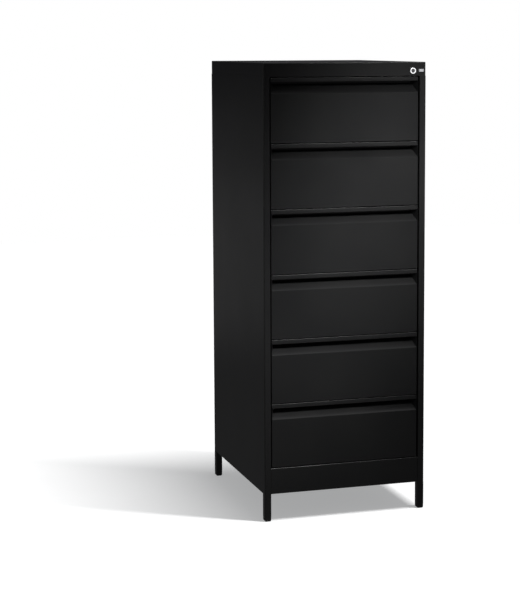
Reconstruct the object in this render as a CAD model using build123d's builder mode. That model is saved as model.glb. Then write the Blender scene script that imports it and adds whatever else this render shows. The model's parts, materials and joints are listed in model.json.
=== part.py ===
from build123d import *
import os

# Steel card-index cabinet: six full-width drawers in a folded sheet-steel body on four legs.
# Millimetres. X to the right, Y to the back, Z up. The origin is on the floor, at the centre
# of the footprint, so the cabinet's front looks along -Y.

# ---- driving dimensions -------------------------------------------------------------------
width = 505.0
depth = 590.0
height = 1357.0
sheet = 1.2
slip_fit = 0.3
cut_over = 2.0

# body shell
clearance_below = 82.0
cover_height = 40.8
cover_flange = 10.0
cover_inset = 0.6
cover_seam = 0.1
cover_edge_radius = 2.5
corner_radius = 4.0
stile_width = 20.0
stile_depth = 25.0
rear_panel_lift = 4.0
rear_flange = 16.0
rear_flange_inset = 1.0
plinth_height = 78.0
plinth_flange = 20.0
plinth_lip = 5.0
plinth_proud = 1.0
plinth_fold_radius = 1.5
pan_front_inset = 6.0
pan_rear_inset = 2.0
pan_side_inset = 2.0
upright_depth = 30.0
upright_inset = 68.0
upright_drop = 2.0
upright_lift = 0.2

# rivets of the rear panel
rivet_count = 6
rivet_pitch = 222.0
rivet_first = 60.0
rivet_edge = 9.0
rivet_radius = 4.0
rivet_height = 1.0
rivet_taper = 20.0

# legs
leg_width = 20.0
leg_depth = 25.0
leg_radius = 3.0
post_width = 17.0
post_depth = 22.0
post_radius = 2.0
bore_width = 14.0
bore_depth = 19.0
bore_radius = 1.5
leg_notch_play = 1.0
glide_height = 12.0
glide_foot_height = 3.0
glide_foot_inset = 2.5
glide_plug = 15.0
glide_plug_play = 0.2
glide_plug_radius = 1.4

# drawers
drawer_count = 6
drawer_pitch = 192.3
drawer_gap = 2.4
side_gap = 3.0
drawer_setback = 3.0
front_depth = 32.0
front_sheet = 1.5
front_side_radius = 2.0
front_edge_radius = 1.0
tray_length = 525.0
tray_height = 130.0
tray_drop = 182.0
tray_sheet = 1.0
tray_half_width = 219.5
plate_inset = 2.0
rim_height = 10.0
divider_height = 104.0
divider_foot = 20.0
divider_play = 0.2
divider_corner_radius = 8.0
bumper_spread = 150.0
bumper_rise = 60.0
bumper_radius = 8.0
bumper_taper = 8.0
bumper_play = 1.0

# grip recess, measured from the top and the face of a drawer front
rail_height = 12.0
rail_thickness = 3.0
rail_hem_radius = 0.7
recess_ceiling = 3.0
recess_depth = 30.0
bevel_top = 19.0
bevel_bottom = 46.0
recess_end_slant = 12.0
recess_skin_top = 0.7
recess_skin_bottom = 2.1

# telescopic runners
runner_drop = 110.0
runner_height = 46.0
runner_clearance = 0.8
runner_length = 500.0
runner_setback = 1.0
cabinet_rail_length = 525.0
cabinet_rail_reach = 10.0
middle_rail_step = 2.0
middle_rail_reach = 7.0
drawer_rail_reach = 8.0

# lock
lock_x = 210.5
lock_drop = 26.0
lock_radius = 9.0
lock_hole_play = 0.1
lock_ring_radius = 9.6
lock_ring_edge = 1.0
lock_proud = 2.4
lock_length = 21.0
plug_radius = 6.0
plug_fit = 0.05
plug_recess = 0.6
keyway_width = 1.8
keyway_height = 7.6
keyway_depth = 9.0
cam_gap = 0.4
cam_arm = 12.0
cam_width = 8.0
cam_hub_radius = 6.0
cam_thickness = 2.5
cam_pin_radius = 2.5

# locking bar
bar_thickness = 3.0
bar_width = 11.0
bar_gap = 2.5
bar_tail = 150.0
bar_arm_height = 13.0
bar_arm_rise = 0.5
bar_arm_gap = 0.5
bar_arm_overhang = 8.0
pin_play = 0.6
slot_spare = 0.4
lug_drop = 70.0
lug_height = 16.0
lug_reach = 14.0
lug_depth = 8.0
guide_drop = 130.0
guide_height = 20.0
guide_play = 0.4
guide_wall = 1.2

# plate beside the lock
badge_offset_x = 27.0
badge_offset_z = 1.0
badge_width = 15.0
badge_height = 8.0
badge_radius = 2.0
badge_thickness = 0.8
badge_edge_radius = 0.3

# ---- places worked out from them ----------------------------------------------------------
half = width / 2
front_y = (lock_proud - rivet_height - depth) / 2
rear_y = front_y + depth
middle_y = front_y + depth / 2
cover_bottom = height - cover_height
body_top = cover_bottom - cover_seam
inner_half = half - stile_width
stile_x = half - stile_width / 2
face_y = front_y + drawer_setback
front_half = inner_half - side_gap
plate_y = face_y + front_depth
tray_y = plate_y + sheet
front_height = drawer_pitch - drawer_gap
first_top = cover_bottom - drawer_gap
drawer_tops = [first_top - drawer_pitch * row for row in range(drawer_count)]
runner_y = tray_y + runner_setback
lock_z = height - lock_drop
cam_y = front_y + lock_length + cam_gap
pin_drop = cam_arm * 0.5 ** 0.5
pin_x = lock_x - pin_drop
pin_z = lock_z - pin_drop
bar_x = inner_half + bar_gap
bar_outside = bar_x + bar_thickness
arm_y = cam_y + cam_thickness + bar_arm_gap
bar_y = arm_y + bar_thickness
bar_rear = bar_y + bar_width
arm_bottom = pin_z - bar_arm_height / 2 + bar_arm_rise
front_post_y = front_y + stile_depth / 2
rear_post_y = rear_y - stile_depth / 2
left_and_right = (-1, 1)

os.makedirs("parts", exist_ok=True)


def save(piece, node):
    piece.label = node
    export_step(piece, f"parts/{node}.step")


# ---- body shell ---------------------------------------------------------------------------
def top_cover():
    """Cap with a front fascia, side and rear skirts and an inward flange all round."""
    outer_x = width - 2 * cover_inset
    outer_y = depth - 2 * cover_inset
    with BuildPart() as cover:
        with BuildSketch(Plane.XY.offset(cover_bottom)):
            with Locations((0, middle_y)):
                RectangleRounded(outer_x, outer_y, corner_radius)
        extrude(amount=cover_height)
        fillet(cover.faces().sort_by(Axis.Z)[-1].edges(), cover_edge_radius)
        with BuildSketch(Plane.XY.offset(cover_bottom + sheet)):
            with Locations((0, middle_y)):
                RectangleRounded(outer_x - 2 * sheet, outer_y - 2 * sheet, corner_radius - sheet)
        extrude(amount=cover_height - 2 * sheet, mode=Mode.SUBTRACT)
        with BuildSketch(Plane.XY.offset(cover_bottom)):
            with Locations((0, middle_y)):
                Rectangle(outer_x - 2 * cover_flange, outer_y - 2 * cover_flange)
        extrude(amount=sheet, mode=Mode.SUBTRACT)
        with BuildSketch(Plane.XZ.offset(-front_y)):
            with Locations((lock_x, lock_z)):
                Circle(lock_radius + lock_hole_play)
        extrude(amount=-(cover_inset + sheet + cut_over), mode=Mode.SUBTRACT)
    save(cover.part, "top_cover")


def side_panel(side, node):
    """Side sheet folded round the front and rear corners into stiles and jambs."""
    outer = side * (half - sheet / 2)
    inner = side * (inner_half + sheet / 2)
    front = front_y + sheet / 2
    rear = rear_y - sheet / 2
    bend = corner_radius - sheet / 2
    folds = [
        (inner, front_y + stile_depth),
        (inner, front),
        (outer, front),
        (outer, rear),
        (inner, rear),
        (inner, rear_y - stile_depth),
    ]
    with BuildPart() as panel:
        with BuildSketch(Plane.XY.offset(clearance_below)):
            with BuildLine():
                FilletPolyline(*folds, radius=[bend / 2, bend, bend, bend / 2])
            trace(line_width=sheet)
        extrude(amount=body_top - clearance_below)
    save(panel.part, node)


def rear_panel():
    """Rear sheet between the rear stiles, with a flange forward at each side."""
    bottom = clearance_below + rear_panel_lift
    with BuildPart() as panel:
        with BuildSketch(Plane.XY.offset(bottom)):
            with Locations((0, rear_y - sheet / 2)):
                Rectangle(2 * (inner_half - slip_fit), sheet)
            for side in left_and_right:
                with Locations((side * (inner_half - rear_flange_inset), rear_y - rear_flange / 2)):
                    Rectangle(sheet, rear_flange)
        extrude(amount=body_top - bottom)
    save(panel.part, "rear_panel")


def base_panel():
    """Floor pan, cut away at the corners for the legs."""
    front_rim_y = front_y + pan_front_inset + plinth_flange / 2
    rear_rim_y = rear_y - pan_rear_inset - plinth_flange / 2
    notch_x = stile_width + 2 * leg_notch_play
    notch_y = stile_depth + 2 * leg_notch_play
    with BuildPart() as pan:
        with BuildSketch(Plane.XY.offset(clearance_below + sheet)):
            with Locations((0, middle_y)):
                Rectangle(width - 2 * (sheet + slip_fit), depth - 2 * plinth_flange)
            with Locations((0, front_rim_y), (0, rear_rim_y)):
                Rectangle(2 * (inner_half - pan_side_inset), plinth_flange)
            for side in left_and_right:
                with Locations((side * stile_x, front_post_y), (side * stile_x, rear_post_y)):
                    Rectangle(notch_x, notch_y, mode=Mode.SUBTRACT)
        extrude(amount=sheet)
    save(pan.part, "base_panel")


def plinth_panel():
    """Fixed panel below the lowest drawer, a channel open to the back."""
    face = face_y - plinth_proud + sheet / 2
    low = clearance_below + sheet / 2
    high = clearance_below + plinth_height - sheet / 2
    folds = [(face + plinth_flange, high), (face, high), (face, low), (face + plinth_lip, low)]
    with BuildPart() as panel:
        with BuildSketch(Plane.YZ):
            with BuildLine():
                FilletPolyline(*folds, radius=plinth_fold_radius)
            trace(line_width=sheet)
        extrude(amount=inner_half - slip_fit, both=True)
    save(panel.part, "plinth_panel")


def leg_post(side, post_y, node):
    """Rounded tube, a leg flush with the body below it and a slimmer corner post inside it."""
    lengths = [
        (glide_height, clearance_below, leg_width, leg_depth, leg_radius),
        (clearance_below, body_top, post_width, post_depth, post_radius),
    ]
    with BuildPart() as post:
        for bottom, top, outer_x, outer_y, outer_radius in lengths:
            with BuildSketch(Plane.XY.offset(bottom)):
                with Locations((side * stile_x, post_y)):
                    RectangleRounded(outer_x, outer_y, outer_radius)
                    RectangleRounded(bore_width, bore_depth, bore_radius, mode=Mode.SUBTRACT)
            extrude(amount=top - bottom)
    save(post.part, node)


def leg_glides():
    """Plastic end caps: a bevelled foot with a plug inside the tube."""
    cap_x = leg_width - 2 * slip_fit
    cap_y = leg_depth - 2 * slip_fit
    corners = [(side * stile_x, y) for side in left_and_right for y in (front_post_y, rear_post_y)]
    with BuildPart() as glides:
        for centre in corners:
            with BuildSketch(Plane.XY):
                with Locations(centre):
                    RectangleRounded(leg_width - 2 * glide_foot_inset,
                                     leg_depth - 2 * glide_foot_inset, glide_foot_inset)
            with BuildSketch(Plane.XY.offset(glide_foot_height)):
                with Locations(centre):
                    RectangleRounded(cap_x, cap_y, leg_radius)
            loft()
            with BuildSketch(Plane.XY.offset(glide_foot_height)):
                with Locations(centre):
                    RectangleRounded(cap_x, cap_y, leg_radius)
            extrude(amount=glide_height - glide_foot_height)
            with BuildSketch(Plane.XY.offset(glide_height)):
                with Locations(centre):
                    RectangleRounded(bore_width - 2 * glide_plug_play,
                                     bore_depth - 2 * glide_plug_play, glide_plug_radius)
            extrude(amount=glide_plug)
    save(glides.part, "leg_glides")


def rail_uprights(side, node):
    """Channels between the side sheet and the runners, one near the front and one behind."""
    bottom = clearance_below + 2 * sheet + upright_lift
    upright_width = half - sheet - inner_half
    web_x = half - sheet - upright_width / 2
    with BuildPart() as uprights:
        for upright_y in (front_y + upright_inset, rear_y - upright_inset):
            with BuildSketch(Plane.XY.offset(bottom)):
                with Locations((side * web_x, upright_y)):
                    Rectangle(upright_width, upright_depth)
                with Locations((side * (web_x + sheet), upright_y)):
                    Rectangle(upright_width, upright_depth - 2 * sheet, mode=Mode.SUBTRACT)
            extrude(amount=body_top - upright_drop - bottom)
    save(uprights.part, node)


def rear_panel_rivets():
    """Two columns of flat rivet heads on the rear panel."""
    with BuildPart() as rivets:
        for side in left_and_right:
            for step in range(rivet_count):
                rivet_z = clearance_below + rivet_first + step * rivet_pitch
                with BuildSketch(Plane.XZ.offset(-rear_y)):
                    with Locations((side * (inner_half - rivet_edge), rivet_z)):
                        Circle(rivet_radius)
                extrude(amount=-rivet_height, taper=rivet_taper)
    save(rivets.part, "rear_panel_rivets")


def drawer_bumpers():
    """Rubber buffers on the rear panel, two behind each drawer."""
    panel_face = rear_y - sheet
    buffer_length = panel_face - (tray_y + tray_length) - bumper_play
    with BuildPart() as bumpers:
        for top in drawer_tops:
            for side in left_and_right:
                with BuildSketch(Plane.XZ.offset(-panel_face)):
                    with Locations((side * bumper_spread, top - tray_drop + bumper_rise)):
                        Circle(bumper_radius)
                extrude(amount=buffer_length, taper=bumper_taper)
    save(bumpers.part, "drawer_bumpers")


# ---- telescopic runners -------------------------------------------------------------------
def channel_pair(top, web_x, reach, outer_height, length, node):
    """Two mirrored channels lying along Y: web at web_x, flanges reaching inwards by reach.

    A negative reach turns the channel round, with its flanges reaching outwards."""
    web_side = sheet if reach > 0 else -sheet
    middle_x = web_x - reach / 2
    middle_z = top - runner_drop
    with BuildPart() as pair:
        for side in left_and_right:
            with BuildSketch(Plane.XZ.offset(-runner_y)):
                with Locations((side * middle_x, middle_z)):
                    Rectangle(abs(reach), outer_height)
                with Locations((side * (middle_x - web_side), middle_z)):
                    Rectangle(abs(reach), outer_height - 2 * sheet, mode=Mode.SUBTRACT)
            extrude(amount=-length)
    save(pair.part, node)


def runners(row, top):
    """Cabinet, middle and drawer members, nested with a small clearance for the balls."""
    step = 2 * (sheet + runner_clearance)
    channel_pair(top, inner_half, cabinet_rail_reach, runner_height, cabinet_rail_length,
                 f"cabinet_rails_{row}")
    channel_pair(top, inner_half - middle_rail_step, middle_rail_reach, runner_height - step,
                 runner_length, f"middle_rails_{row}")
    channel_pair(top, tray_half_width, -drawer_rail_reach, runner_height - 2 * step,
                 runner_length, f"drawer_rails_{row}")


# ---- drawers ------------------------------------------------------------------------------
def grip_recess(top):
    """Space for the fingers: in under the rail, up behind it, with bevelled floor and ends."""
    mouth_y = face_y - cut_over
    recess_y = face_y + recess_depth
    mouth = front_half - front_sheet
    deep = mouth - recess_end_slant
    with BuildPart() as recess:
        with BuildSketch(Plane.YZ):
            with BuildLine():
                Polyline(
                    (mouth_y, top - rail_height),
                    (face_y + rail_thickness, top - rail_height),
                    (face_y + rail_thickness, top - recess_ceiling),
                    (recess_y, top - recess_ceiling),
                    (recess_y, top - bevel_top),
                    (face_y, top - bevel_bottom),
                    (mouth_y, top - bevel_bottom),
                    close=True,
                )
            make_face()
        extrude(amount=front_half, both=True)
        with BuildSketch(Plane.XY.offset(top - bevel_bottom - cut_over)):
            with BuildLine():
                Polyline(
                    (-mouth, mouth_y),
                    (mouth, mouth_y),
                    (mouth, face_y),
                    (deep, recess_y),
                    (-deep, recess_y),
                    (-mouth, face_y),
                    close=True,
                )
            make_face()
        extrude(amount=bevel_bottom + cut_over, mode=Mode.INTERSECT)
    return recess.part


def recess_backing(top):
    """Section of the solid block that the grip recess is cut from."""
    block_face = face_y + front_sheet
    block_back = face_y + recess_depth + front_sheet
    skin_bottom = top - bevel_bottom - recess_skin_bottom
    with BuildSketch(Plane.YZ) as section:
        with BuildLine():
            Polyline(
                (block_face, top - front_sheet),
                (block_back, top - front_sheet),
                (block_back, top - bevel_top - recess_skin_top),
                (block_face, skin_bottom),
                close=True,
            )
        make_face()
    return section.sketch


def rail_hems(front, top):
    """The long lower edges of the rail, front and back."""
    hem_z = top - rail_height
    return front.edges().filter_by(Axis.X).filter_by_position(Axis.Z, hem_z - 0.1, hem_z + 0.1)


def drawer_front(row, top):
    """Folded pan, open to the back, with the grip recess across its upper edge."""
    recess = grip_recess(top)
    backing = recess_backing(top)
    pan_middle = face_y + front_depth / 2
    with BuildPart() as front:
        with BuildSketch(Plane.XY.offset(top - front_height)):
            with Locations((0, pan_middle)):
                Rectangle(2 * front_half, front_depth)
        extrude(amount=front_height)
        fillet(front.edges().filter_by(Axis.Z).sort_by(Axis.Y)[:2], front_side_radius)
        fillet(front.faces().sort_by(Axis.Y)[0].edges().filter_by(Axis.X), front_edge_radius)
        with BuildSketch(Plane.XY.offset(top - front_height + front_sheet)):
            with Locations((0, pan_middle + front_sheet)):
                Rectangle(2 * (front_half - front_sheet), front_depth)
        extrude(amount=front_height - 2 * front_sheet, mode=Mode.SUBTRACT)
        extrude(backing, amount=front_half - front_sheet / 2, both=True)
        add(recess, mode=Mode.SUBTRACT)
        fillet(rail_hems(front, top), rail_hem_radius)
    save(front.part, f"drawer_front_{row}")


def drawer_tray(row, top):
    """Open tray folded from sheet, with its front plate closing the back of the front."""
    floor_z = top - tray_drop
    tray_middle = tray_y + tray_length / 2
    with BuildPart() as tray:
        with BuildSketch(Plane.XY.offset(floor_z)):
            with Locations((0, tray_middle)):
                Rectangle(2 * tray_half_width, tray_length)
        extrude(amount=tray_height)
        with BuildSketch(Plane.XY.offset(floor_z + tray_height - rim_height)):
            with Locations((0, tray_middle)):
                Rectangle(2 * (tray_half_width + tray_sheet), tray_length)
        extrude(amount=rim_height)
        with BuildSketch(Plane.XY.offset(floor_z + tray_sheet)):
            with Locations((0, tray_middle - tray_sheet / 2)):
                Rectangle(2 * (tray_half_width - tray_sheet), tray_length - tray_sheet)
        extrude(amount=tray_height, mode=Mode.SUBTRACT)
        with BuildSketch(Plane.XZ.offset(-plate_y)):
            with Locations((0, top - front_height / 2)):
                Rectangle(2 * (front_half - plate_inset), front_height - 2 * plate_inset)
        extrude(amount=-sheet)
    save(tray.part, f"drawer_tray_{row}")


def drawer_divider(row, top):
    """Upright plate on a foot that parts the tray into two rows of cards."""
    floor_z = top - tray_drop + tray_sheet
    with BuildPart() as divider:
        with BuildSketch(Plane.XZ.offset(-(tray_y + divider_play))):
            with Locations((0, floor_z + divider_height / 2)):
                Rectangle(sheet, divider_height)
            with Locations((0, floor_z + sheet / 2)):
                Rectangle(divider_foot, sheet)
        extrude(amount=-(tray_length - tray_sheet - 2 * divider_play))
        fillet(divider.edges().filter_by(Axis.X).group_by(Axis.Z)[-1], divider_corner_radius)
    save(divider.part, f"drawer_divider_{row}")


# ---- lock ---------------------------------------------------------------------------------
def lock_housing():
    """Barrel through the fascia with a raised ring on the face."""
    with BuildPart() as housing:
        with BuildSketch(Plane.XZ.offset(-front_y)):
            with Locations((lock_x, lock_z)):
                Circle(lock_radius)
        extrude(amount=-lock_length)
        with BuildSketch(Plane.XZ.offset(-(front_y + cover_inset))):
            with Locations((lock_x, lock_z)):
                Circle(lock_ring_radius)
        extrude(amount=lock_proud + cover_inset)
        fillet(housing.faces().sort_by(Axis.Y)[0].edges(), lock_ring_edge)
        with BuildSketch(Plane.XZ.offset(-(front_y - lock_proud))):
            with Locations((lock_x, lock_z)):
                Circle(plug_radius + plug_fit)
        extrude(amount=-(lock_length + lock_proud), mode=Mode.SUBTRACT)
    save(housing.part, "lock_housing")


def lock_plug():
    """Turning cylinder with a keyway."""
    plug_face = front_y - lock_proud + plug_recess
    with BuildPart() as plug:
        with BuildSketch(Plane.XZ.offset(-plug_face)):
            with Locations((lock_x, lock_z)):
                Circle(plug_radius)
        extrude(amount=-(cam_y - plug_face))
        with BuildSketch(Plane.XZ.offset(-plug_face)):
            with Locations((lock_x, lock_z)):
                Rectangle(keyway_width, keyway_height)
        extrude(amount=-keyway_depth, mode=Mode.SUBTRACT)
    save(plug.part, "lock_plug")


def lock_cam():
    """Arm on the back of the plug, with the pin that lifts the bar."""
    with BuildPart() as cam:
        with BuildSketch(Plane.XZ.offset(-cam_y)):
            with BuildLine():
                Line((lock_x, lock_z), (pin_x, pin_z))
            trace(line_width=cam_width)
            with Locations((lock_x, lock_z)):
                Circle(cam_hub_radius)
            with Locations((pin_x, pin_z)):
                Circle(cam_width / 2)
        extrude(amount=-cam_thickness)
        with BuildSketch(Plane.XZ.offset(-(cam_y + cam_thickness))):
            with Locations((pin_x, pin_z)):
                Circle(cam_pin_radius)
        extrude(amount=-(bar_thickness + cut_over))
    save(cam.part, "lock_cam")


def locking_bar():
    """Flat bar that slides up and down behind the right stile."""
    bottom = drawer_tops[-1] - bar_tail
    with BuildPart() as bar:
        with BuildSketch(Plane.XY.offset(bottom)):
            with Locations((bar_x + bar_thickness / 2, bar_y + bar_width / 2)):
                Rectangle(bar_thickness, bar_width)
        extrude(amount=arm_bottom + bar_arm_height - bottom)
    save(bar.part, "locking_bar")


def locking_bar_arm():
    """Plate across the top of the bar, with the slot that the cam's pin lifts it by."""
    arm_end = lock_x - cam_arm - bar_arm_overhang
    with BuildPart() as arm:
        with BuildSketch(Plane.XY.offset(arm_bottom)):
            with Locations(((arm_end + bar_outside) / 2, arm_y + bar_thickness / 2)):
                Rectangle(bar_outside - arm_end, bar_thickness)
        extrude(amount=bar_arm_height)
        with BuildSketch(Plane.XZ.offset(-arm_y)):
            with Locations((lock_x - (cam_arm + pin_drop) / 2, pin_z)):
                SlotCenterToCenter(cam_arm - pin_drop + slot_spare, 2 * (cam_pin_radius + pin_play))
        extrude(amount=-bar_thickness, mode=Mode.SUBTRACT)
    save(arm.part, "locking_bar_arm")


def locking_bar_lugs():
    """Bent lugs on the rear edge of the bar, one beside each drawer."""
    lug_back = bar_rear + lug_depth
    with BuildPart() as lugs:
        for top in drawer_tops:
            with BuildSketch(Plane.XY.offset(top - lug_drop)):
                with Locations((bar_x + bar_thickness / 2, bar_rear + lug_depth / 2)):
                    Rectangle(bar_thickness, lug_depth)
                with Locations((bar_outside - lug_reach / 2, lug_back - bar_thickness / 2)):
                    Rectangle(lug_reach, bar_thickness)
            extrude(amount=lug_height)
    save(lugs.part, "locking_bar_lugs")


def lock_bar_guides():
    """Clips on the side sheet that hold the bar in line."""
    guide_start = bar_x - guide_wall + guide_play
    guide_end = half - sheet
    channel = bar_x + bar_thickness + guide_play - guide_start
    with BuildPart() as guides:
        for top in drawer_tops[::2]:
            with BuildSketch(Plane.XY.offset(top - guide_drop)):
                with Locations(((guide_start + guide_end) / 2, bar_y + bar_width / 2)):
                    Rectangle(guide_end - guide_start, bar_width + 2 * (guide_play + guide_wall))
                with Locations((guide_start + channel / 2, bar_y + bar_width / 2)):
                    Rectangle(channel, bar_width + 2 * guide_play, mode=Mode.SUBTRACT)
            extrude(amount=guide_height)
    save(guides.part, "lock_bar_guides")


def blank_badge():
    """Small plain plate beside the lock."""
    with BuildPart() as badge:
        with BuildSketch(Plane.XZ.offset(-(front_y + cover_inset))):
            with Locations((lock_x + badge_offset_x, lock_z + badge_offset_z)):
                RectangleRounded(badge_width, badge_height, badge_radius)
        extrude(amount=badge_thickness)
        fillet(badge.faces().sort_by(Axis.Y)[0].edges(), badge_edge_radius)
    save(badge.part, "blank_badge")


top_cover()
side_panel(-1, "left_side_panel")
side_panel(1, "right_side_panel")
rear_panel()
base_panel()
plinth_panel()
leg_post(-1, front_post_y, "front_left_leg_post")
leg_post(1, front_post_y, "front_right_leg_post")
leg_post(-1, rear_post_y, "rear_left_leg_post")
leg_post(1, rear_post_y, "rear_right_leg_post")
leg_glides()
rail_uprights(-1, "left_rail_uprights")
rail_uprights(1, "right_rail_uprights")
rear_panel_rivets()
drawer_bumpers()
for number, drawer_top in enumerate(drawer_tops, start=1):
    runners(number, drawer_top)
    drawer_front(number, drawer_top)
    drawer_tray(number, drawer_top)
    drawer_divider(number, drawer_top)
lock_housing()
lock_plug()
lock_cam()
locking_bar()
locking_bar_arm()
locking_bar_lugs()
lock_bar_guides()
blank_badge()
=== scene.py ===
import json
import math

import bmesh
import bpy
from mathutils import Matrix, Vector


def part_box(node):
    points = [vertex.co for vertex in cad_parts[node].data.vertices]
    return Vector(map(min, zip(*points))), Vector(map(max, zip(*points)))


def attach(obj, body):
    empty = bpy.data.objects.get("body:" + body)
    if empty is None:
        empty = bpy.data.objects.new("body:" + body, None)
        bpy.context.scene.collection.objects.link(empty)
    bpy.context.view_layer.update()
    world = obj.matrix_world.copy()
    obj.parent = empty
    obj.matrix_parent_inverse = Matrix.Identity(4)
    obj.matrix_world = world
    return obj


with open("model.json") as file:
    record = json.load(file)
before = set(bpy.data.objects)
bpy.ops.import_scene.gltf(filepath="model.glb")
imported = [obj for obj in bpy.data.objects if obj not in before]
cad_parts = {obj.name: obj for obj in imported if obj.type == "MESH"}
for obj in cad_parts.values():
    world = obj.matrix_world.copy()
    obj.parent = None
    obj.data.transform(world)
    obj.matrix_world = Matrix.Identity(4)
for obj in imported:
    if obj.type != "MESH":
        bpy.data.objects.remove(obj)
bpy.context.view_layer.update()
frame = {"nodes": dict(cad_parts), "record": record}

# A black steel card-index cabinet with six drawers, dressed for a studio picture.
# Metres. The CAD nodes keep their shape; this script gives them their finish and adds the
# drawers' screws and rivets, the floor, the lights and the camera.

drawer_rows = range(1, 7)
bright_nodes = ("lock_housing", "blank_badge")


# ---- node helpers -------------------------------------------------------------------------
def new_material(name):
    """A material with its Principled shader, and the node tree they live in."""
    material = bpy.data.materials.new(name)
    material.use_nodes = True
    tree = material.node_tree
    return material, tree, tree.nodes["Principled BSDF"]


def object_noise(tree, scale, detail=2.0, stretch=(1, 1, 1)):
    """Noise fixed to the object, in features per metre, stretched along an axis if asked."""
    place = tree.nodes.new("ShaderNodeTexCoord")
    mapping = tree.nodes.new("ShaderNodeMapping")
    mapping.inputs["Scale"].default_value = stretch
    noise = tree.nodes.new("ShaderNodeTexNoise")
    noise.inputs["Scale"].default_value = scale
    noise.inputs["Detail"].default_value = detail
    tree.links.new(place.outputs["Object"], mapping.inputs["Vector"])
    tree.links.new(mapping.outputs["Vector"], noise.inputs["Vector"])
    return noise.outputs["Fac"]


def colour_ramp(tree, factor, stops):
    """Colours along a 0 to 1 factor: stops is a list of (place, colour)."""
    ramp = tree.nodes.new("ShaderNodeValToRGB")
    elements = ramp.color_ramp.elements
    while len(elements) < len(stops):
        elements.new(0.5)
    for element, (place, colour) in zip(elements, stops):
        element.position = place
        element.color = (*colour, 1)
    tree.links.new(factor, ramp.inputs["Fac"])
    return ramp.outputs["Color"]


def map_range(tree, factor, to_low, to_high, from_low=0.3, from_high=0.7):
    """The noise's usual spread of values taken to another range."""
    node = tree.nodes.new("ShaderNodeMapRange")
    node.inputs["From Min"].default_value = from_low
    node.inputs["From Max"].default_value = from_high
    node.inputs["To Min"].default_value = to_low
    node.inputs["To Max"].default_value = to_high
    tree.links.new(factor, node.inputs["Value"])
    return node.outputs["Result"]


def bump(tree, height, strength, distance, under=None):
    """A bump normal from a height, on top of another normal if one is given."""
    node = tree.nodes.new("ShaderNodeBump")
    node.inputs["Strength"].default_value = strength
    node.inputs["Distance"].default_value = distance
    tree.links.new(height, node.inputs["Height"])
    if under is not None:
        tree.links.new(under, node.inputs["Normal"])
    return node.outputs["Normal"]


# ---- finishes -----------------------------------------------------------------------------
def black_powder_coat():
    """Semi-matt black powder coat: fine grain over a soft orange-peel, barely uneven gloss."""
    material, tree, shader = new_material("black_powder_coat")
    cloud = object_noise(tree, 5.0, detail=3.0)
    fleck = object_noise(tree, 1400.0, detail=1.0)
    peel = object_noise(tree, 420.0, detail=2.0)
    tone = colour_ramp(tree, cloud, [(0.35, (0.0110, 0.0111, 0.0115)),
                                     (0.65, (0.0130, 0.0130, 0.0131))])
    tree.links.new(tone, shader.inputs["Base Color"])
    tree.links.new(map_range(tree, cloud, 0.29, 0.33), shader.inputs["Roughness"])
    rough = bump(tree, peel, 0.16, 0.0006)
    tree.links.new(bump(tree, fleck, 0.10, 0.0002, rough), shader.inputs["Normal"])
    return material


def zinc_plate():
    """Bright zinc plating, faintly brushed along the runner, with a cloudy passivation."""
    material, tree, shader = new_material("zinc_plate")
    cloud = object_noise(tree, 26.0, detail=4.0)
    brushed = object_noise(tree, 700.0, detail=3.0, stretch=(1, 0.04, 1))
    tone = colour_ramp(tree, cloud, [(0.30, (0.47, 0.485, 0.50)), (0.55, (0.56, 0.565, 0.57)),
                                     (0.75, (0.60, 0.59, 0.565))])
    tree.links.new(tone, shader.inputs["Base Color"])
    tree.links.new(map_range(tree, brushed, 0.30, 0.44), shader.inputs["Roughness"])
    tree.links.new(bump(tree, brushed, 0.10, 0.0002), shader.inputs["Normal"])
    shader.inputs["Metallic"].default_value = 1.0
    return material


def polished_chrome():
    """Chrome plating with hairline scratches and a trace of haze."""
    material, tree, shader = new_material("polished_chrome")
    haze = object_noise(tree, 300.0, detail=4.0)
    scratches = object_noise(tree, 2600.0, detail=2.0, stretch=(0.06, 1, 1))
    tone = colour_ramp(tree, haze, [(0.3, (0.72, 0.73, 0.75)), (0.7, (0.82, 0.82, 0.83))])
    tree.links.new(tone, shader.inputs["Base Color"])
    tree.links.new(map_range(tree, haze, 0.10, 0.20), shader.inputs["Roughness"])
    tree.links.new(bump(tree, scratches, 0.06, 0.0001), shader.inputs["Normal"])
    shader.inputs["Metallic"].default_value = 1.0
    return material


def satin_aluminium():
    """Fine-brushed clear-anodised aluminium."""
    material, tree, shader = new_material("satin_aluminium")
    brushed = object_noise(tree, 3200.0, detail=2.0, stretch=(0.03, 1, 1))
    tone = colour_ramp(tree, brushed, [(0.3, (0.66, 0.67, 0.70)), (0.7, (0.76, 0.77, 0.80))])
    tree.links.new(tone, shader.inputs["Base Color"])
    tree.links.new(map_range(tree, brushed, 0.34, 0.46), shader.inputs["Roughness"])
    tree.links.new(bump(tree, brushed, 0.10, 0.0001), shader.inputs["Normal"])
    shader.inputs["Metallic"].default_value = 1.0
    return material


def black_plastic():
    """Moulded black plastic with a fine spark-eroded grain."""
    material, tree, shader = new_material("black_plastic")
    grain = object_noise(tree, 1800.0, detail=2.0)
    cloud = object_noise(tree, 40.0, detail=2.0)
    tone = colour_ramp(tree, cloud, [(0.35, (0.010, 0.010, 0.0105)), (0.65, (0.014, 0.014, 0.014))])
    tree.links.new(tone, shader.inputs["Base Color"])
    tree.links.new(map_range(tree, grain, 0.48, 0.60), shader.inputs["Roughness"])
    tree.links.new(bump(tree, grain, 0.25, 0.0002), shader.inputs["Normal"])
    shader.inputs["Specular IOR Level"].default_value = 0.4
    return material


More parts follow.
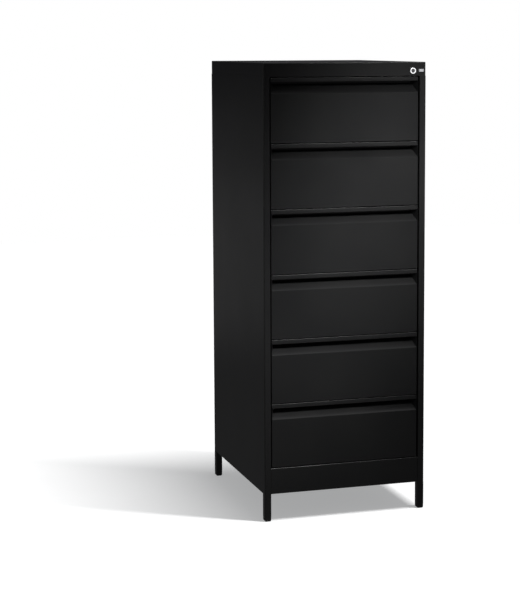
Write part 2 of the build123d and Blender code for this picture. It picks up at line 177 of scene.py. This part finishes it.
def dull_rubber():
    """Moulded rubber, matt, with a dusty bloom."""
    material, tree, shader = new_material("dull_rubber")
    bloom = object_noise(tree, 160.0, detail=4.0)
    grain = object_noise(tree, 1500.0, detail=1.0)
    tone = colour_ramp(tree, bloom, [(0.35, (0.016, 0.016, 0.017)), (0.7, (0.030, 0.030, 0.031))])
    tree.links.new(tone, shader.inputs["Base Color"])
    tree.links.new(map_range(tree, bloom, 0.72, 0.88), shader.inputs["Roughness"])
    tree.links.new(bump(tree, grain, 0.3, 0.0002), shader.inputs["Normal"])
    shader.inputs["Specular IOR Level"].default_value = 0.3
    return material


def pale_floor():
    """Seamless pale studio floor, lit a little from within so that it stays light in shade."""
    material, tree, shader = new_material("pale_floor")
    mottle = object_noise(tree, 3.0, detail=2.0)
    tone = colour_ramp(tree, mottle, [(0.3, (0.79, 0.79, 0.79)), (0.7, (0.81, 0.81, 0.81))])
    tree.links.new(tone, shader.inputs["Base Color"])
    shader.inputs["Roughness"].default_value = 0.9
    shader.inputs["Specular IOR Level"].default_value = 0.0
    shader.inputs["Emission Color"].default_value = (0.98, 0.99, 1.0, 1)
    shader.inputs["Emission Strength"].default_value = 0.36
    return material


finish_of_slot = {
    "black_paint": black_powder_coat(),
    "zinc": zinc_plate(),
    "chrome": polished_chrome(),
    "aluminium": satin_aluminium(),
    "black_plastic": black_plastic(),
    "rubber": dull_rubber(),
}

slot_of_node = {part["node"]: part["material_slot"] for part in frame["record"]["subparts"]}
for node, piece in frame["nodes"].items():
    for slot in piece.material_slots:
        slot.material = finish_of_slot[slot_of_node[node]]


# ---- fixings in the drawers ---------------------------------------------------------------
def cross_radius(radius, angle):
    """Outline of a screw's cross recess, as a radius for each angle."""
    return radius * (0.16 + 0.34 * abs(math.cos(2 * angle)) ** 4)


def add_head(shape, centre, outward, radius, height, crossed):
    """A closed domed head on a surface, built of rings, with a cross recess if asked."""
    segments = 32
    dome = [(1.0, 0.0), (1.0, 0.3), (0.93, 0.62), (0.76, 0.9), (0.56, 1.0)]
    recess = [(1.0, 1.0), (0.8, 0.35)]
    turn = outward.to_track_quat("Z", "Y").to_matrix()
    angles = [2 * math.pi * step / segments for step in range(segments)]
    outlines = [([radius * share] * segments, height * rise) for share, rise in dome]
    if crossed:
        outlines += [([share * cross_radius(radius, angle) for angle in angles], height * rise)
                     for share, rise in recess]
    rings = []
    for radii, rise in outlines:
        corners = [Vector((reach * math.cos(angle), reach * math.sin(angle), rise))
                   for reach, angle in zip(radii, angles)]
        rings.append([shape.verts.new(centre + turn @ corner) for corner in corners])
    for lower, upper in zip(rings, rings[1:]):
        for step in range(segments):
            after = (step + 1) % segments
            shape.faces.new((lower[step], lower[after], upper[after], upper[step]))
    shape.faces.new(rings[-1])
    shape.faces.new(list(reversed(rings[0])))


def drawer_fixings(row):
    """Screws that hold the runners to the tray's sides, and rivets that hold its front."""
    rail_thickness = 0.008
    tray_sheet = 0.001
    front_plate = 0.0022
    screw_radius = 0.0042
    screw_height = 0.0020
    screw_places = (0.12, 0.5, 0.88)
    rivet_radius = 0.0034
    rivet_height = 0.0012
    rivet_columns = (0.06, 0.17)
    rivet_rows = (-0.03, 0.03)
    tray_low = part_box(f"drawer_tray_{row}")[0]
    rail_low, rail_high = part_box(f"drawer_rails_{row}")
    wall_x = rail_high.x - rail_thickness - tray_sheet
    wall_y = tray_low.y + front_plate
    rail_z = (rail_low.z + rail_high.z) / 2
    length = rail_high.y - rail_low.y
    shape = bmesh.new()
    for side in (-1, 1):
        for share in screw_places:
            screw = Vector((side * wall_x, rail_low.y + share * length, rail_z))
            add_head(shape, screw, Vector((-side, 0, 0)), screw_radius, screw_height, True)
        for x in rivet_columns:
            for rise in rivet_rows:
                rivet = Vector((side * x, wall_y, rail_z + rise))
                add_head(shape, rivet, Vector((0, 1, 0)), rivet_radius, rivet_height, False)
    mesh = bpy.data.meshes.new(f"drawer_fixings_{row}")
    shape.to_mesh(mesh)
    shape.free()
    mesh.materials.append(finish_of_slot["zinc"])
    piece = bpy.data.objects.new(f"drawer_fixings_{row}", mesh)
    bpy.context.scene.collection.objects.link(piece)
    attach(piece, f"drawer_{row}")


for drawer in drawer_rows:
    drawer_fixings(drawer)


# ---- floor and background -----------------------------------------------------------------
def make_floor():
    """A square floor that shows to the camera but not in reflections or as fill light."""
    floor_size = 14.0
    mesh = bpy.data.meshes.new("floor")
    shape = bmesh.new()
    bmesh.ops.create_grid(shape, x_segments=8, y_segments=8, size=floor_size / 2)
    shape.to_mesh(mesh)
    shape.free()
    floor = bpy.data.objects.new("floor", mesh)
    bpy.context.scene.collection.objects.link(floor)
    mesh.materials.append(pale_floor())
    floor.visible_glossy = False
    floor.visible_diffuse = False
    return floor


def background(tree, colour, strength):
    """An even background of one colour."""
    node = tree.nodes.new("ShaderNodeBackground")
    node.inputs["Color"].default_value = (*colour, 1)
    node.inputs["Strength"].default_value = strength
    return node


def choose(tree, condition, otherwise, chosen):
    """Two shaders, the second of which is used where the condition holds."""
    mix = tree.nodes.new("ShaderNodeMixShader")
    tree.links.new(condition, mix.inputs[0])
    tree.links.new(otherwise.outputs[0], mix.inputs[1])
    tree.links.new(chosen.outputs[0], mix.inputs[2])
    return mix


def make_world():
    """White behind the cabinet, a weak even light on matt surfaces, dim walls in reflections."""
    white = (1, 1, 1)
    fill_strength = 0.12
    world = bpy.data.worlds.new("studio")
    bpy.context.scene.world = world
    world.use_nodes = True
    tree = world.node_tree
    tree.nodes.clear()
    rays = tree.nodes.new("ShaderNodeLightPath")
    place = tree.nodes.new("ShaderNodeTexCoord")
    split = tree.nodes.new("ShaderNodeSeparateXYZ")
    tree.links.new(place.outputs["Generated"], split.inputs["Vector"])
    height = map_range(tree, split.outputs["Z"], 0.0, 1.0, -1.0, 1.0)
    walls = colour_ramp(tree, height, [(0.0, (0.30, 0.30, 0.30)), (0.25, (0.14, 0.14, 0.14)),
                                       (0.42, (0.02, 0.02, 0.022)), (0.60, (0.02, 0.02, 0.022)),
                                       (0.72, (0.20, 0.20, 0.205)), (1.0, (0.60, 0.60, 0.61))])
    shown = background(tree, white, 1.0)
    soft = background(tree, white, fill_strength)
    mirrored = background(tree, white, 1.0)
    tree.links.new(walls, mirrored.inputs["Color"])
    unseen = choose(tree, rays.outputs["Is Glossy Ray"], soft, mirrored)
    seen = choose(tree, rays.outputs["Is Camera Ray"], unseen, shown)
    output = tree.nodes.new("ShaderNodeOutputWorld")
    tree.links.new(seen.outputs[0], output.inputs["Surface"])


# ---- lights -------------------------------------------------------------------------------
def place_lamp(name, light, place, target, turn=0.0):
    """A lamp at place that faces target, turned about its own axis, and unseen by the camera."""
    lamp = bpy.data.objects.new(name, light)
    bpy.context.scene.collection.objects.link(lamp)
    aim = (Vector(target) - Vector(place)).to_track_quat("-Z", "Y").to_matrix().to_4x4()
    lamp.matrix_world = Matrix.Translation(place) @ aim @ Matrix.Rotation(math.radians(turn), 4, "Z")
    lamp.visible_camera = False
    return lamp


def soft_box(name, place, target, size, radiance, turn=0.0):
    """A rectangular soft box."""
    light = bpy.data.lights.new(name, "AREA")
    light.shape = "RECTANGLE"
    light.size, light.size_y = size
    light.energy = radiance * math.pi * size[0] * size[1]
    return place_lamp(name, light, place, target, turn)


def soft_spot(name, place, target, width, power):
    """A large-faced spot whose pool of light fades all the way out from its middle."""
    face_radius = 0.2
    light = bpy.data.lights.new(name, "SPOT")
    light.energy = power
    light.shadow_soft_size = face_radius
    light.spot_size = 2 * math.atan(width / 2 / (Vector(target) - Vector(place)).length)
    light.spot_blend = 1.0
    return place_lamp(name, light, place, target)


def light_only(lamps, pieces, state):
    """Aims lamps at these pieces alone (INCLUDE) or at all the others (EXCLUDE)."""
    group = bpy.data.collections.new(f"{lamps[0].name}_receivers")
    for piece in pieces:
        group.objects.link(piece)
    for member in group.collection_objects:
        member.light_linking.link_state = state
    for lamp in lamps:
        lamp.light_linking.receiver_collection = group


def overhead_strip():
    """A long narrow light far above, from overhead down towards the right front."""
    heading = math.radians(-34.0)
    middle = math.radians(75.0)
    spread = math.radians(30.0)
    distance = 40.0
    width = 1.4
    radiance = 150.0
    length = 2 * distance * math.tan(spread / 2)
    place = Vector((math.cos(middle) * math.cos(heading), math.cos(middle) * math.sin(heading),
                    math.sin(middle))) * distance
    return soft_box("overhead_strip", place, (0, 0, 0), (width, length), radiance)


def front_pools():
    """Overlapping pools of light on the drawers, all from one place high in front of them."""
    source = (0.45, -2.1, 2.2)
    pool_width = 0.9
    face_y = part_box("drawer_front_1")[0].y
    pools = [(0.2, 1.0, 230), (0.0, 0.7, 75), (-0.2, 0.7, 90), (-0.2, 0.4, 150), (0.2, 0.1, 20)]
    return [soft_spot(f"front_pool_{number}", source, (x, face_y, z), pool_width, power)
            for number, (x, z, power) in enumerate(pools, start=1)]


def lock_glint():
    """A soft box that the polished lock and the plate beside it mirror."""
    low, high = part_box("lock_housing")
    lock = (low + high) / 2
    mirrored_way = Vector((0.87, -2.23, -0.04))
    size = (0.5, 0.5)
    radiance = 1.6
    return soft_box("lock_glint", lock + mirrored_way, lock, size, radiance)


def make_lights(floor):
    """One light for the floor, one for the lock and its plate, the rest for all but the floor."""
    light_only([overhead_strip()], [floor], "INCLUDE")
    light_only([lock_glint()], [frame["nodes"][node] for node in bright_nodes], "INCLUDE")
    lamps = front_pools() + [
        soft_box("front_right_panel", (0.83, -2.5, 0.64), (0.16, -0.29, 0.64), (0.22, 1.85), 0.18,
                 turn=-25),
        soft_box("side_panel_low", (-2.6, 4.0, 0.17), (-0.25, 0, 0.17), (3.6, 0.9), 0.09),
        soft_box("side_panel_tall", (-2.6, 4.0, 0.07), (-0.25, 0, 0.07), (3.6, 2.2), 0.018),
        soft_box("left_panel", (-2.6, -0.1, 0.9), (0, 0, 0.7), (1.2, 1.6), 0.5),
        soft_box("right_panel", (2.6, 0.1, 0.9), (0, 0, 0.7), (1.2, 1.6), 0.9),
        soft_box("rear_panel_light", (0.2, 3.0, 0.5), (0, 0.3, 0.6), (1.4, 1.2), 0.4),
    ]
    light_only(lamps, [floor], "EXCLUDE")


# ---- camera -------------------------------------------------------------------------------
def make_camera():
    """A long lens a little above the top, in front of the left corner, looking slightly down."""
    data = bpy.data.cameras.new("camera")
    data.sensor_width = 36.0
    data.lens = 101.582
    data.shift_x = -0.075
    data.shift_y = -0.1067
    camera = bpy.data.objects.new("camera", data)
    bpy.context.scene.collection.objects.link(camera)
    camera.location = (-1.6291, -4.9974, 1.4146)
    heading = math.radians(17.72)
    pitch = math.radians(-6.518)
    roll = math.radians(-0.123)
    ahead = Vector((math.sin(heading) * math.cos(pitch), math.cos(heading) * math.cos(pitch),
                    math.sin(pitch)))
    level = ahead.to_track_quat("-Z", "Y").to_matrix()
    camera.rotation_euler = (level @ Matrix.Rotation(roll, 3, "Z")).to_euler()
    bpy.context.scene.camera = camera


studio_floor = make_floor()
make_world()
make_lights(studio_floor)
make_camera()
bpy.context.scene.view_settings.view_transform = "Standard"
